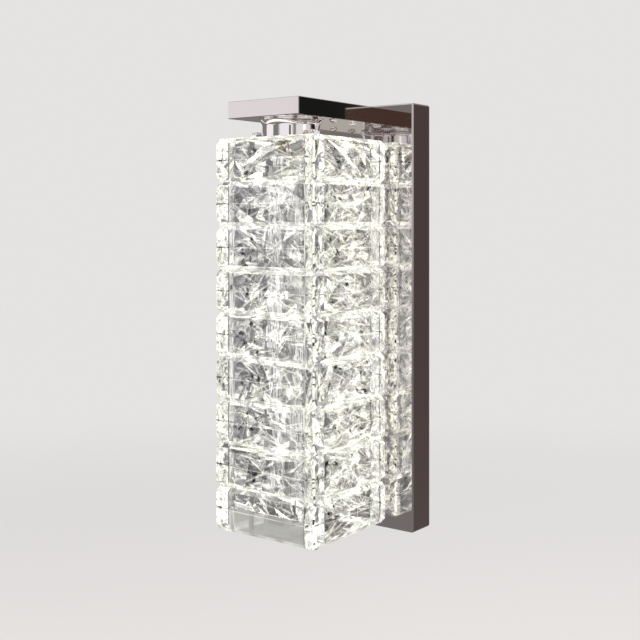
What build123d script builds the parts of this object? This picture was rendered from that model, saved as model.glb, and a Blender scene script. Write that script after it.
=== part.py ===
from build123d import *
import os
import random

# Crystal wall sconce. A chromed arm on a chromed backplate carries a square column of nine
# layers of rock-cut crystal bars, lit from inside by a lamp core.
# Millimetres, +Z up, -Y out of the wall. The origin is on the wall, at the backplate's centre.

# Backplate: a folded pan, open to the wall.
BACKPLATE_W = 122.0
BACKPLATE_H = 305.0
BACKPLATE_D = 22.4
SHEET = 1.5
BACKPLATE_EDGE = 1.0

# Arm: a flat hollow box at the top of the backplate.
ARM_W = 62.2
ARM_H = 11.8
ARM_REACH = 115.0
ARM_TOP_Z = 151.0
ARM_EDGE = 0.4

# Crystal column: every layer is four bars laid in a pinwheel.
COLUMN_W = 86.0
COLUMN_Y = -72.3
COLUMN_TOP_Z = 126.0
LAYERS = 9
BAR_H = 30.24
BAR_T = 12.3
BAR_L = COLUMN_W - BAR_T
JOINT_CHAMFER = 2.4
CORNER_CHAMFER = 1.3
END_CHAMFER = 0.5
PIN_W = 1.0
PIN_HOLE_W = 1.2
PIN_DEPTH = 4.0
PIN_SETBACK = 0.3

# Neck between the arm and the column, centred in the square end of the arm.
NECK_Y = -84.0
NECK_D = 40.0
NECK_WALL = 2.0
NECK_LIP_D = 45.4
NECK_LIP_H = 0.9
NECK_FLARE_H = 4.6
NECK_FLARE_STEPS = 3

# Plates and rods that hold the column together.
HANGER_W = 66.0
HANGER_T = 3.0
REBATE_CLEARANCE = 0.2
BOTTOM_PLATE_W = 68.0
BOTTOM_PLATE_T = 2.0
BOTTOM_PLATE_EDGE = 0.6
ROD_D = 4.0
ROD_X = 25.7
ROD_Y = -90.5
ROD_HOLE_D = 4.4

# Lamp core: a square tube with a light strip on each side.
CORE_W = 22.0
CORE_WALL = 1.5
CORE_TOP_Z = 118.0
STRIP_W = 12.0
STRIP_T = 1.3
STRIP_END_GAP = 8.0
PLUG_H = 8.0

# Threaded pipe that joins arm, neck, hanger plate and core.
PIPE_D = 10.0
PIPE_BORE_D = 6.5
PIPE_TOP_Z = 147.0
PIPE_BOTTOM_Z = 109.0
PIPE_CLEARANCE = 0.3
PIPE_NUT_W = 14.0
PIPE_NUT_H = 4.0

# Wall bracket: a cross of steel strip with its ends bent forward.
BRACKET_T = 1.6
BRACKET_BAR_W = 48.0
BRACKET_CROSS_W = 108.0
BRACKET_CROSS_H = 28.0
BRACKET_TAB_D = 14.0
WALL_HOLE_D = 5.0
WALL_HOLE_DX = 32.0
WALL_HOLE_DZ = 240.0
BOX_SLOT_DX = 88.9
BOX_SLOT_L = 12.0
CABLE_HOLE_D = 22.0

COLUMN_BOTTOM_Z = COLUMN_TOP_Z - LAYERS * BAR_H
ARM_BOTTOM_Z = ARM_TOP_Z - ARM_H
PLATE_FRONT_Y = -BACKPLATE_D
SIDES = {"front": 0, "right": 90, "back": 180, "left": -90}
THREAD_CLEARANCE = 0.1
OVERCUT = 1.0

parts = {}


def side_turn(side):
    """Carry a shape drawn for the front of the column round to another side of it."""
    return Pos(0, COLUMN_Y, 0) * Rot(0, 0, SIDES[side])


def cut_beyond(body, point, normal):
    """Cut off what lies beyond a plane, on the side that its normal points to."""
    return split(body, bisect_by=Plane(origin=point, z_dir=normal), keep=Keep.BOTTOM)


def rod(diameter, low_z, high_z, x=0.0, y=0.0):
    """Upright round rod between two heights."""
    height = high_z - low_z
    return Pos(x, y, low_z + height / 2) * Cylinder(diameter / 2, height)


def bar_along_y(diameter, low_y, high_y, x=0.0, z=0.0):
    """Round bar that lies along Y."""
    length = high_y - low_y
    return Pos(x, low_y + length / 2, z) * Rot(90, 0, 0) * Cylinder(diameter / 2, length)


def bore(diameter, low_z, high_z, x=0.0, y=0.0):
    """Upright round cutter that reaches past both heights."""
    return rod(diameter, low_z - OVERCUT, high_z + OVERCUT, x, y)


def bore_along_y(diameter, low_y, high_y, x=0.0, z=0.0):
    """Round cutter along Y that reaches past both ends."""
    return bar_along_y(diameter, low_y - OVERCUT, high_y + OVERCUT, x, z)


def hex_prism(across_flats, low_z, height, x=0.0, y=0.0):
    """Upright hexagonal prism."""
    sketch = RegularPolygon(across_flats / 2, 6, major_radius=False)
    return Pos(x, y, low_z) * extrude(sketch, amount=height)


def block(low, high):
    """Box between two opposite corners."""
    size = [b - a for a, b in zip(low, high)]
    centre = [(a + b) / 2 for a, b in zip(low, high)]
    return Pos(*centre) * Box(*size)


# ---------------------------------------------------------------- backplate

FIXING_Y = -8.0
FIXING_HOLE_D = 4.4
FIXING_D = 4.0
FIXING_HEAD_D = 7.0
FIXING_HEAD_H = 1.4
ARM_SCREW_X = 22.0
ARM_SCREW_Z = ARM_BOTTOM_Z + ARM_H / 2
ARM_SCREW_D = 4.0
ARM_SCREW_HOLE_D = 4.4
ARM_SCREW_HEAD_D = 7.0
ARM_SCREW_HEAD_H = 2.4
WIRE_HOLE_D = 8.0
GROMMET_WALL = 1.5


def make_backplate():
    """Pan folded from sheet, open to the wall, with broken outer edges."""
    outer = block(
        (-BACKPLATE_W / 2, -BACKPLATE_D, -BACKPLATE_H / 2),
        (BACKPLATE_W / 2, 0, BACKPLATE_H / 2),
    )
    front = outer.faces().sort_by(Axis.Y)[0]
    depth_edges = outer.edges().filter_by(Axis.Y)
    outer = chamfer(front.edges() + depth_edges, BACKPLATE_EDGE)
    hollow = block(
        (-BACKPLATE_W / 2 + SHEET, -BACKPLATE_D + SHEET, -BACKPLATE_H / 2 + SHEET),
        (BACKPLATE_W / 2 - SHEET, SHEET, BACKPLATE_H / 2 - SHEET),
    )
    pan = outer - hollow
    for x in (-ARM_SCREW_X, ARM_SCREW_X):
        pan -= bore_along_y(ARM_SCREW_HOLE_D, PLATE_FRONT_Y, PLATE_FRONT_Y + SHEET, x, ARM_SCREW_Z)
    pan -= bore_along_y(WIRE_HOLE_D, PLATE_FRONT_Y, PLATE_FRONT_Y + SHEET, 0, ARM_SCREW_Z)
    return pan - bore(FIXING_HOLE_D, -BACKPLATE_H / 2, BACKPLATE_H / 2, 0, FIXING_Y)


parts["backplate"] = make_backplate()

# ---------------------------------------------------------------- wall bracket

TAB_CLEARANCE = 0.4
BRACKET_TOP_Z = BACKPLATE_H / 2 - SHEET - TAB_CLEARANCE
SCREW_END = 2.5
EARTH_X = 16.0
EARTH_Z = -60.0
EARTH_D = 4.0
EARTH_HEAD_D = 8.0
EARTH_HEAD_H = 3.0
EARTH_SLOT_W = 1.2
BRACKET_CORNER = 4.0


def make_wall_bracket():
    """Cross of steel strip on the wall. Its bent ends take the screws that hold the backplate."""
    upright = Rectangle(BRACKET_BAR_W, 2 * BRACKET_TOP_Z)
    cross = Rectangle(BRACKET_CROSS_W, BRACKET_CROSS_H)
    cross = chamfer(cross.vertices(), BRACKET_CORNER)
    outline = upright + cross
    outline -= Circle(CABLE_HOLE_D / 2)
    outline -= GridLocations(WALL_HOLE_DX, WALL_HOLE_DZ, 2, 2) * Circle(WALL_HOLE_D / 2)
    slot = SlotOverall(BOX_SLOT_L, WALL_HOLE_D)
    outline -= GridLocations(BOX_SLOT_DX, 1, 2, 1) * slot
    outline -= Pos(EARTH_X, EARTH_Z) * Circle(EARTH_D / 2 + THREAD_CLEARANCE / 2)
    on_wall = Plane(origin=(0, 0, 0), x_dir=(1, 0, 0), z_dir=(0, -1, 0))
    bracket = extrude(on_wall * outline, amount=BRACKET_T)
    for sign in (-1, 1):
        low_z, high_z = sorted((sign * BRACKET_TOP_Z, sign * (BRACKET_TOP_Z - BRACKET_T)))
        tab = block(
            (-BRACKET_BAR_W / 2, -BRACKET_TAB_D, low_z),
            (BRACKET_BAR_W / 2, -BRACKET_T / 2, high_z),
        )
        corners = tab.edges().filter_by(Axis.Z).sort_by(Axis.Y)[0:2]
        tab = chamfer(corners, BRACKET_CORNER)
        bracket += tab - bore(FIXING_D + THREAD_CLEARANCE, low_z, high_z, 0, FIXING_Y)
    return bracket


def make_fixing_screws():
    """Two low-headed screws through the pan's top and bottom edges into the bracket's tabs."""
    shank_z = BRACKET_TOP_Z - BRACKET_T - SCREW_END
    edge_z = BACKPLATE_H / 2
    screws = []
    for sign in (-1, 1):
        shank_low, shank_high = sorted((sign * shank_z, sign * edge_z))
        head_low, head_high = sorted((sign * edge_z, sign * (edge_z + FIXING_HEAD_H)))
        head = rod(FIXING_HEAD_D, head_low, head_high, 0, FIXING_Y)
        screws.append(head + rod(FIXING_D, shank_low, shank_high, 0, FIXING_Y))
    return Compound(children=screws)


parts["wall_bracket"] = make_wall_bracket()
parts["fixing_screws"] = make_fixing_screws()


def make_earth_screw():
    """Slotted screw in the bracket that clamps the earth wire."""
    face_y = -BRACKET_T
    head_y = face_y - EARTH_HEAD_H
    screw = bar_along_y(EARTH_D, face_y, 0, EARTH_X, EARTH_Z)
    screw += bar_along_y(EARTH_HEAD_D, head_y, face_y, EARTH_X, EARTH_Z)
    slot = Box(2 * EARTH_HEAD_D, 2 * EARTH_SLOT_W, EARTH_SLOT_W)
    return screw - Pos(EARTH_X, head_y, EARTH_Z) * slot


parts["earth_screw"] = make_earth_screw()

# ---------------------------------------------------------------- electrical pieces in the pan

DRIVER_W = 28.0
DRIVER_H = 112.0
DRIVER_D = 16.0
DRIVER_X = -8.0
DRIVER_Z = -78.0
DRIVER_CORNER = 2.5
DRIVER_EDGE = 1.2
DRIVER_ENTRY_W = 14.0
DRIVER_ENTRY_D = 7.0
DRIVER_ENTRY_H = 6.0
TERMINAL_POLES = 3
TERMINAL_PITCH = 8.0
TERMINAL_H = 16.0
TERMINAL_D = 11.0
TERMINAL_Z = 42.0
TERMINAL_TUNNEL_W = 3.4
TERMINAL_WELL_W = 3.6
TERMINAL_WELL_DEPTH = 4.0
TERMINAL_WELL_Z = 4.0
TERMINAL_GROOVE_W = 1.0
TERMINAL_GROOVE_DEPTH = 3.0


def make_led_driver():
    """Moulded driver box on the bracket, with a recessed wire entry at each end."""
    body = block(
        (DRIVER_X - DRIVER_W / 2, -BRACKET_T - DRIVER_D, DRIVER_Z - DRIVER_H / 2),
        (DRIVER_X + DRIVER_W / 2, -BRACKET_T, DRIVER_Z + DRIVER_H / 2),
    )
    body = chamfer(body.edges().filter_by(Axis.Y), DRIVER_CORNER)
    body = chamfer(body.faces().sort_by(Axis.Y)[0].edges(), DRIVER_EDGE)
    middle_y = -BRACKET_T - DRIVER_D / 2
    for sign in (-1, 1):
        entry = Box(DRIVER_ENTRY_W, DRIVER_ENTRY_D, 2 * DRIVER_ENTRY_H)
        body -= Pos(DRIVER_X, middle_y, DRIVER_Z + sign * DRIVER_H / 2) * entry
    return body


def make_terminal_block():
    """Three-pole terminal: each pole has a square wire tunnel and a square screw well near both ends."""
    body = Box(TERMINAL_POLES * TERMINAL_PITCH, TERMINAL_D, TERMINAL_H)
    tunnel = Box(TERMINAL_TUNNEL_W, TERMINAL_TUNNEL_W, TERMINAL_H + OVERCUT)
    well = Box(TERMINAL_WELL_W, 2 * TERMINAL_WELL_DEPTH, TERMINAL_WELL_W)
    face_y = -TERMINAL_D / 2
    for pole in range(TERMINAL_POLES):
        x = (pole - (TERMINAL_POLES - 1) / 2) * TERMINAL_PITCH
        body -= Pos(x, TERMINAL_D / 2 - TERMINAL_TUNNEL_W, 0) * tunnel
        for z in (-TERMINAL_WELL_Z, TERMINAL_WELL_Z):
            body -= Pos(x, face_y, z) * well
    groove = Box(TERMINAL_GROOVE_W, 2 * TERMINAL_GROOVE_DEPTH, TERMINAL_H + OVERCUT)
    for pole in range(1, TERMINAL_POLES):
        body -= Pos((pole - TERMINAL_POLES / 2) * TERMINAL_PITCH, face_y, 0) * groove
    return Pos(0, -BRACKET_T - TERMINAL_D / 2, TERMINAL_Z) * body


parts["led_driver"] = make_led_driver()
parts["terminal_block"] = make_terminal_block()

# ---------------------------------------------------------------- arm

COVER_GAP = 0.15
COVER_SCREW_X = 20.0
COVER_SCREW_YS = (-62.0, -38.0)
COVER_SCREW_D = 3.0
COVER_SCREW_HOLE_D = 3.3
COVER_HEAD_D = 5.6
COVER_HEAD_H = 1.7
COVER_BORE_TOP_Z = ARM_TOP_Z - 3.0
COVER_BORE_REST = 0.5
BOSS_W = 6.4


def make_arm_shell():
    """Top, front and sides of the arm, with a rear flange and four square bosses for the cover."""
    shell = block((-ARM_W / 2, -ARM_REACH, ARM_BOTTOM_Z), (ARM_W / 2, PLATE_FRONT_Y, ARM_TOP_Z))
    outer_edges = shell.faces().sort_by(Axis.Z)[-1].edges().filter_by(Axis.Y)
    outer_edges += shell.faces().sort_by(Axis.Y)[0].edges()
    shell = chamfer(outer_edges, ARM_EDGE)
    shell -= block(
        (-ARM_W / 2 + SHEET, -ARM_REACH + SHEET, ARM_BOTTOM_Z - OVERCUT),
        (ARM_W / 2 - SHEET, PLATE_FRONT_Y - SHEET, ARM_TOP_Z - SHEET),
    )
    shell -= block(
        (-ARM_W / 2 + SHEET, PLATE_FRONT_Y - SHEET - OVERCUT, ARM_BOTTOM_Z - OVERCUT),
        (ARM_W / 2 - SHEET, PLATE_FRONT_Y + OVERCUT, ARM_BOTTOM_Z + SHEET + COVER_GAP),
    )
    flange_y = PLATE_FRONT_Y - SHEET
    for x in (-ARM_SCREW_X, ARM_SCREW_X):
        shell -= bore_along_y(ARM_SCREW_D + THREAD_CLEARANCE, flange_y, PLATE_FRONT_Y, x, ARM_SCREW_Z)
    shell -= bore_along_y(WIRE_HOLE_D, flange_y, PLATE_FRONT_Y, 0, ARM_SCREW_Z)
    boss = block(
        (-BOSS_W / 2, -BOSS_W / 2, ARM_BOTTOM_Z + SHEET), (BOSS_W / 2, BOSS_W / 2, ARM_TOP_Z - SHEET / 2)
    )
    for x in (-COVER_SCREW_X, COVER_SCREW_X):
        for y in COVER_SCREW_YS:
            shell += Pos(x, y, 0) * boss
            shell -= rod(COVER_SCREW_D + THREAD_CLEARANCE, ARM_BOTTOM_Z, COVER_BORE_TOP_Z, x, y)
    return shell


def make_arm_cover():
    """Flat plate that closes the underside of the arm, flush with its walls."""
    cover = block(
        (-ARM_W / 2 + SHEET + COVER_GAP, -ARM_REACH + SHEET + COVER_GAP, ARM_BOTTOM_Z),
        (ARM_W / 2 - SHEET - COVER_GAP, PLATE_FRONT_Y, ARM_BOTTOM_Z + SHEET),
    )
    cover -= bore(PIPE_D + 2 * PIPE_CLEARANCE, ARM_BOTTOM_Z, ARM_BOTTOM_Z + SHEET, 0, NECK_Y)
    for x in (-COVER_SCREW_X, COVER_SCREW_X):
        for y in COVER_SCREW_YS:
            cover -= bore(COVER_SCREW_HOLE_D, ARM_BOTTOM_Z, ARM_BOTTOM_Z + SHEET, x, y)
    return cover


def make_arm_cover_screws():
    """Four low round-headed screws in the underside of the arm."""
    screws = []
    for x in (-COVER_SCREW_X, COVER_SCREW_X):
        for y in COVER_SCREW_YS:
            head = rod(COVER_HEAD_D, ARM_BOTTOM_Z - COVER_HEAD_H, ARM_BOTTOM_Z, x, y)
            screws.append(head + rod(COVER_SCREW_D, ARM_BOTTOM_Z, COVER_BORE_TOP_Z - COVER_BORE_REST, x, y))
    return Compound(children=screws)


def make_arm_screws():
    """Two cheese-head screws that hold the arm from inside the backplate."""
    inner_y = PLATE_FRONT_Y + SHEET
    screws = []
    for x in (-ARM_SCREW_X, ARM_SCREW_X):
        head = bar_along_y(ARM_SCREW_HEAD_D, inner_y, inner_y + ARM_SCREW_HEAD_H, x, ARM_SCREW_Z)
        shank = bar_along_y(ARM_SCREW_D, PLATE_FRONT_Y - SHEET - SCREW_END, inner_y, x, ARM_SCREW_Z)
        screws.append(head + shank)
    return Compound(children=screws)


def make_wire_grommet():
    """Rubber bush that lines the wire hole through the backplate and the arm's rear flange."""
    low_y, high_y = PLATE_FRONT_Y - SHEET, PLATE_FRONT_Y + SHEET
    bush = bar_along_y(WIRE_HOLE_D, low_y, high_y, 0, ARM_SCREW_Z)
    return bush - bore_along_y(WIRE_HOLE_D - 2 * GROMMET_WALL, low_y, high_y, 0, ARM_SCREW_Z)


parts["arm_shell"] = make_arm_shell()
parts["arm_cover"] = make_arm_cover()
parts["arm_cover_screws"] = make_arm_cover_screws()
parts["arm_screws"] = make_arm_screws()
parts["wire_grommet"] = make_wire_grommet()

# ---------------------------------------------------------------- neck, pipe and hanger plate


def make_neck_collar():
    """Turned collar with a straight wall that flares in steps to a thin lip under the arm."""
    low, high = COLUMN_TOP_Z, ARM_BOTTOM_Z
    wall_r, lip_r = NECK_D / 2, NECK_LIP_D / 2
    lip_z = high - NECK_LIP_H
    flare = []
    for step in range(NECK_FLARE_STEPS + 1):
        rise = step / NECK_FLARE_STEPS
        flare.append((wall_r + (lip_r - wall_r) * rise**2.5, lip_z - NECK_FLARE_H * (1 - rise)))
    bore_r = wall_r - NECK_WALL
    outline = [(bore_r, high), (bore_r, low), (wall_r, low), *flare, (lip_r, high)]
    profile = Plane.XZ * make_face(Polyline(*outline, close=True))
    return Pos(0, NECK_Y, 0) * revolve(profile, Axis.Z)


def make_pipe():
    """Hollow threaded pipe, drawn plain at its outer diameter."""
    pipe = rod(PIPE_D, PIPE_BOTTOM_Z, PIPE_TOP_Z, 0, NECK_Y)
    return pipe - bore(PIPE_BORE_D, PIPE_BOTTOM_Z, PIPE_TOP_Z, 0, NECK_Y)


def make_pipe_nuts():
    """Hexagonal nuts that clamp the arm cover, collar and hanger plate together."""
    nuts = []
    for low_z in (ARM_BOTTOM_Z + SHEET, COLUMN_TOP_Z - HANGER_T - PIPE_NUT_H):
        nut = hex_prism(PIPE_NUT_W, low_z, PIPE_NUT_H, 0, NECK_Y)
        nuts.append(nut - bore(PIPE_D + THREAD_CLEARANCE, low_z, low_z + PIPE_NUT_H, 0, NECK_Y))
    return Compound(children=nuts)


def make_hanger_plate():
    """Square plate let into the top of the column, which hangs from the neck by it."""
    low_z = COLUMN_TOP_Z - HANGER_T
    plate = Pos(0, COLUMN_Y, low_z + HANGER_T / 2) * Box(HANGER_W, HANGER_W, HANGER_T)
    plate -= bore(PIPE_D + 2 * PIPE_CLEARANCE, low_z, COLUMN_TOP_Z, 0, NECK_Y)
    for x in (-ROD_X, ROD_X):
        plate -= bore(ROD_HOLE_D, low_z, COLUMN_TOP_Z, x, ROD_Y)
    return plate


parts["neck_collar"] = make_neck_collar()
parts["threaded_pipe"] = make_pipe()
parts["pipe_nuts"] = make_pipe_nuts()
parts["hanger_plate"] = make_hanger_plate()

# ---------------------------------------------------------------- bottom plate and tie rods

ROD_NUT_W = 7.0
ROD_NUT_H = 4.9
CAP_NUT_H = 3.2
CAP_NUT_CROWN_D = 5.6
CAP_NUT_CROWN_H = 2.6
BOTTOM_SCREW_D = 5.0
BOTTOM_SCREW_HOLE_D = 5.4
BOTTOM_SCREW_HEAD_D = 14.0
BOTTOM_SCREW_HEAD_H = 3.2
PLATE_LOW_Z = COLUMN_BOTTOM_Z - BOTTOM_PLATE_T


def make_bottom_plate():
    """Square plate under the column that the lowest bars stand on."""
    plate = Pos(0, COLUMN_Y, COLUMN_BOTTOM_Z - BOTTOM_PLATE_T / 2) * Box(
        BOTTOM_PLATE_W, BOTTOM_PLATE_W, BOTTOM_PLATE_T
    )
    plate = chamfer(plate.faces().sort_by(Axis.Z)[0].edges(), BOTTOM_PLATE_EDGE)
    for x in (-ROD_X, ROD_X):
        plate -= bore(ROD_HOLE_D, PLATE_LOW_Z, COLUMN_BOTTOM_Z, x, ROD_Y)
    return plate - bore(BOTTOM_SCREW_HOLE_D, PLATE_LOW_Z, COLUMN_BOTTOM_Z, 0, NECK_Y)


def make_tie_rods():
    """Two studs, drawn plain, from the hanger plate to the bottom plate."""
    low_z = PLATE_LOW_Z - CAP_NUT_H
    high_z = COLUMN_TOP_Z + ROD_NUT_H
    return Compound(children=[rod(ROD_D, low_z, high_z, x, ROD_Y) for x in (-ROD_X, ROD_X)])


def make_rod_lock_nuts():
    """Tall locking nuts on the hanger plate, seen on both sides of the neck."""
    nuts = []
    for x in (-ROD_X, ROD_X):
        nut = hex_prism(ROD_NUT_W, COLUMN_TOP_Z, ROD_NUT_H, x, ROD_Y)
        nuts.append(nut - bore(ROD_D + THREAD_CLEARANCE, COLUMN_TOP_Z, COLUMN_TOP_Z + ROD_NUT_H, x, ROD_Y))
    return Compound(children=nuts)


def make_rod_cap_nuts():
    """Closed cap nuts under the bottom plate."""
    nuts = []
    for x in (-ROD_X, ROD_X):
        nut = hex_prism(ROD_NUT_W, PLATE_LOW_Z - CAP_NUT_H, CAP_NUT_H, x, ROD_Y)
        crown_z = PLATE_LOW_Z - CAP_NUT_H
        nut += rod(CAP_NUT_CROWN_D, crown_z - CAP_NUT_CROWN_H, crown_z, x, ROD_Y)
        bore_low = crown_z - CAP_NUT_CROWN_H / 2
        nuts.append(nut - rod(ROD_D + THREAD_CLEARANCE, bore_low, PLATE_LOW_Z + OVERCUT, x, ROD_Y))
    return Compound(children=nuts)


def make_bottom_screw():
    """Wide-headed screw from below into the foot of the lamp core."""
    head = rod(BOTTOM_SCREW_HEAD_D, PLATE_LOW_Z - BOTTOM_SCREW_HEAD_H, PLATE_LOW_Z, 0, NECK_Y)
    return head + rod(BOTTOM_SCREW_D, PLATE_LOW_Z, COLUMN_BOTTOM_Z + PLUG_H, 0, NECK_Y)


parts["bottom_plate"] = make_bottom_plate()
parts["tie_rods"] = make_tie_rods()
parts["rod_lock_nuts"] = make_rod_lock_nuts()
parts["rod_cap_nuts"] = make_rod_cap_nuts()
parts["bottom_screw"] = make_bottom_screw()

# ---------------------------------------------------------------- lamp core

PLUG_GAP = 0.1


def make_core_tube():
    """Square aluminium tube that carries the light strips and cools them."""
    height = CORE_TOP_Z - COLUMN_BOTTOM_Z
    middle_z = COLUMN_BOTTOM_Z + height / 2
    tube = Pos(0, NECK_Y, middle_z) * Box(CORE_W, CORE_W, height)
    inner_w = CORE_W - 2 * CORE_WALL
    return tube - Pos(0, NECK_Y, middle_z) * Box(inner_w, inner_w, height + OVERCUT)


def make_core_plugs():
    """Square plugs in both ends of the tube: the top one turns onto the pipe."""
    plug_w = CORE_W - 2 * (CORE_WALL + PLUG_GAP)
    top = Pos(0, NECK_Y, CORE_TOP_Z - PLUG_H / 2) * Box(plug_w, plug_w, PLUG_H)
    top -= bore(PIPE_D + THREAD_CLEARANCE, CORE_TOP_Z - PLUG_H, CORE_TOP_Z, 0, NECK_Y)
    foot = Pos(0, NECK_Y, COLUMN_BOTTOM_Z + PLUG_H / 2) * Box(plug_w, plug_w, PLUG_H)
    foot_top_z = COLUMN_BOTTOM_Z + PLUG_H
    foot -= bore(BOTTOM_SCREW_D + THREAD_CLEARANCE, COLUMN_BOTTOM_Z, foot_top_z, 0, NECK_Y)
    return Compound(children=[top, foot])


def make_led_strips():
    """One long light strip on each side of the core."""
    low_z = COLUMN_BOTTOM_Z + STRIP_END_GAP
    height = CORE_TOP_Z - STRIP_END_GAP - low_z
    strips = []
    for angle in (0, 90, 180, 270):
        strip = Pos(0, -(CORE_W + STRIP_T) / 2, low_z + height / 2) * Box(STRIP_W, STRIP_T, height)
        strips.append(Pos(0, NECK_Y, 0) * Rot(0, 0, angle) * strip)
    return Compound(children=strips)


parts["core_tube"] = make_core_tube()
parts["core_plugs"] = make_core_plugs()
parts["led_strips"] = make_led_strips()

# ---------------------------------------------------------------- crystal bars

ROOF_SLOPE = (0.03, 0.06)
HIP_SLOPE = (0.02, 0.05)
HIP_START = 0.6
CHIPS = 3
CHIP_DEPTH = (1.8, 3.6)
CHIP_HALF_W = (6.0, 10.0)
CHIP_TURN = (25, 75)
CHIP_HEIGHTS = (0.25, 0.75)
CHIP_SHIFT = 6.0
LOWEST_CHIP_HEIGHTS = (0.75, 0.95)
JOINT_MARGIN = 1.0


def cut_edges(bar):
    """Chamfer the edges along the layer joints and the upright corner edges."""
    half_l = BAR_L / 2
    for z, up in ((0, -1), (BAR_H, 1)):
        rim = z - up * JOINT_CHAMFER
        bar = cut_beyond(bar, (0, 0, rim), (0, -1, up))
        bar = cut_beyond(bar, (half_l, BAR_T / 2, rim), (1, 0, up))
    bar = cut_beyond(bar, (half_l, CORNER_CHAMFER, BAR_H / 2), (1, -1, 0))
    return cut_beyond(bar, (-half_l, END_CHAMFER, BAR_H / 2), (-1, -1, 0))


def cut_roof(bar, rng):
    """Slope the outer face like a hipped roof: a ridge at mid-height that falls at its far end."""
    half_l, half_h = BAR_L / 2, BAR_H / 2
    for up in (-1, 1):
        slope = rng.uniform(*ROOF_SLOPE)
        bar = cut_beyond(bar, (0, 0, half_h), (0, -1, up * slope))
    slope = rng.uniform(*HIP_SLOPE)
    return cut_beyond(bar, (-half_l * HIP_START, 0, half_h), (-slope, -1, 0))


def cut_chips(bar, rng, heights):
    """Chip the inner face with slanted V cuts. It stays flat where the next bar stands against it."""
    low_x, high_x = -BAR_L / 2, BAR_L / 2 - BAR_T - JOINT_MARGIN
    open_face = block((low_x - OVERCUT, 0, -OVERCUT), (high_x, BAR_T + OVERCUT, BAR_H + OVERCUT))
    for number in range(CHIPS):
        depth = rng.uniform(*CHIP_DEPTH)
        half_w = rng.uniform(*CHIP_HALF_W)
        turn = rng.choice((-1, 1)) * rng.uniform(*CHIP_TURN)
        along = low_x + (high_x - low_x) * (number + 0.5) / CHIPS + rng.uniform(-CHIP_SHIFT, CHIP_SHIFT)
        section = make_face(Polyline((-half_w, 0), (0, -depth), (half_w, 0), (0, depth), close=True))
        cutter = extrude(section, amount=BAR_L, both=True)
        cutter = Pos(along, BAR_T, BAR_H * rng.uniform(*heights)) * Rot(0, turn, 0) * cutter
        bar -= cutter & open_face
    return bar


def cut_pin_holes(bar):
    """Cut the square holes for the bar's own corner pin and for the end of its neighbour's."""
    through = Pos(BAR_L / 2 - BAR_T / 2, BAR_T / 2, BAR_H / 2) * Box(PIN_HOLE_W, BAR_T + OVERCUT, PIN_HOLE_W)
    blind = Pos(-BAR_L / 2, BAR_T / 2, BAR_H / 2) * Box(2 * PIN_DEPTH, PIN_HOLE_W, PIN_HOLE_W)
    return bar - through - blind


def make_bar(layer, side):
    """One crystal bar, rock-cut on its inner face: drawn at the front, outer face at Y = 0."""
    rng = random.Random(101 * layer + SIDES[side])
    bar = Pos(0, BAR_T / 2, BAR_H / 2) * Box(BAR_L, BAR_T, BAR_H)
    bar = cut_edges(bar)
    bar = cut_roof(bar, rng)
    bar = cut_chips(bar, rng, CHIP_HEIGHTS if layer else LOWEST_CHIP_HEIGHTS)
    bar = cut_pin_holes(bar)
    low_z = COLUMN_BOTTOM_Z + layer * BAR_H
    bar = side_turn(side) * Pos(BAR_T / 2, -COLUMN_W / 2, low_z) * bar
    if layer == LAYERS - 1:
        rebate_w = HANGER_W + 2 * REBATE_CLEARANCE
        bar -= Pos(0, COLUMN_Y, COLUMN_TOP_Z) * Box(rebate_w, rebate_w, 2 * HANGER_T)
    return bar


def make_corner_pins():
    """Square steel pins at the corners, each from one bar into the end of the next."""
    length = BAR_T + PIN_DEPTH - PIN_SETBACK
    middle_y = -COLUMN_W / 2 + PIN_SETBACK + length / 2
    pins = []
    for layer in range(LAYERS):
        middle_z = COLUMN_BOTTOM_Z + (layer + 0.5) * BAR_H
        for side in SIDES:
            pin = Pos(COLUMN_W / 2 - BAR_T / 2, middle_y, middle_z) * Box(PIN_W, length, PIN_W)
            pins.append(side_turn(side) * pin)
    return Compound(children=pins)


for layer in range(LAYERS):
    for side in SIDES:
        parts[f"crystal_{side}_{layer + 1}"] = make_bar(layer, side)
parts["corner_pins"] = make_corner_pins()

# ---------------------------------------------------------------- export

os.makedirs("parts", exist_ok=True)
for name, shape in parts.items():
    export_step(shape, f"parts/{name}.step")
print(len(parts), "nodes written")
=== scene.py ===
from math import pi, radians

import bpy
import numpy as np
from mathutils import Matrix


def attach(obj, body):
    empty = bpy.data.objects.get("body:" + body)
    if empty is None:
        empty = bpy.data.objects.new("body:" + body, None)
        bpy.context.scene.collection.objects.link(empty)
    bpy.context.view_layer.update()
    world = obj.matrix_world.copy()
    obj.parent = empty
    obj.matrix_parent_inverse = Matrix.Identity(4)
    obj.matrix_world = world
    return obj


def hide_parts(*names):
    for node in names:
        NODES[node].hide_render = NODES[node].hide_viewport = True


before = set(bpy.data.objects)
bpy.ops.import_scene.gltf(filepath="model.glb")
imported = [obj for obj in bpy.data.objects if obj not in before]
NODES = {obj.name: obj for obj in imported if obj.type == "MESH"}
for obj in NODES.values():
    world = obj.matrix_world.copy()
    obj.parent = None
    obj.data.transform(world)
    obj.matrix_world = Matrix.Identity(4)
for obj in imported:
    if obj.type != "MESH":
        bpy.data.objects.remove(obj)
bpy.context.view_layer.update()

bl_info = {
    "name": "Crystal wall sconce",
    "version": (1, 0, 0),
    "blender": (4, 5, 0),
    "location": "3D View > Sidebar > Sconce",
    "description": "Rock-cut crystal bars, polished metal and a lit core on the sconce's fixed frame",
    "category": "Object",
}

MM = 0.001
SIDES = {"front": 0, "right": 90, "back": 180, "left": -90}

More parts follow.
